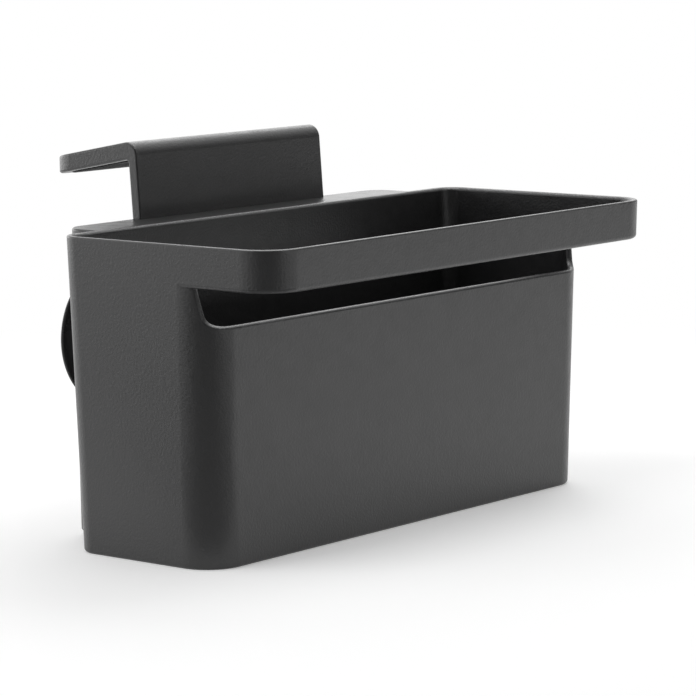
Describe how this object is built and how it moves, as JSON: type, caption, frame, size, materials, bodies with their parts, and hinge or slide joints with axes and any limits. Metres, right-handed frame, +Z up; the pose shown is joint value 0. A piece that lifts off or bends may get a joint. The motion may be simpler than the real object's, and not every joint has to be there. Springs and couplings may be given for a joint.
{
  "type": "storage caddy",
  "caption": "Tapered open storage caddy with a front hanging rail, lifted onto a rear hanger with a sloping edge hook and suction cups.",
  "frame": {"origin": "middle of the caddy's flat base", "axes": "+Z up, +X along the rail to the right seen from the front, -Y the front with the rail, +Y towards the hook"},
  "size_m": [0.205, 0.1458, 0.1278],
  "materials": {
    "body_plastic": "dark grey moulded plastic with a fine matte grain",
    "hanger_plastic": "dark grey moulded plastic, satin",
    "pad_rubber": "black soft grip pad",
    "cup_rubber": "black soft suction cup"
  },
  "bodies": {
    "hanger": {"hanger": "hanger_plastic", "grip_pad": "pad_rubber"},
    "caddy": {"caddy_body": "body_plastic"},
    "cup_left": {"suction_cup_left": "cup_rubber"},
    "cup_right": {"suction_cup_right": "cup_rubber"}
  },
  "joints": [
    {"name": "caddy_lift", "type": "slide", "parent": "hanger", "child": "caddy", "axis": [0, 0, 1], "range_m": [0, 0.012]},
    {"name": "cup_left_turn", "type": "hinge", "parent": "hanger", "child": "cup_left", "pos_m": [-0.051, 0.0493, 0.0634], "axis": [0, 1, 0], "continuous": true},
    {"name": "cup_right_turn", "type": "hinge", "parent": "hanger", "child": "cup_right", "pos_m": [0.051, 0.0493, 0.0634], "axis": [0, 1, 0], "continuous": true}
  ]
}
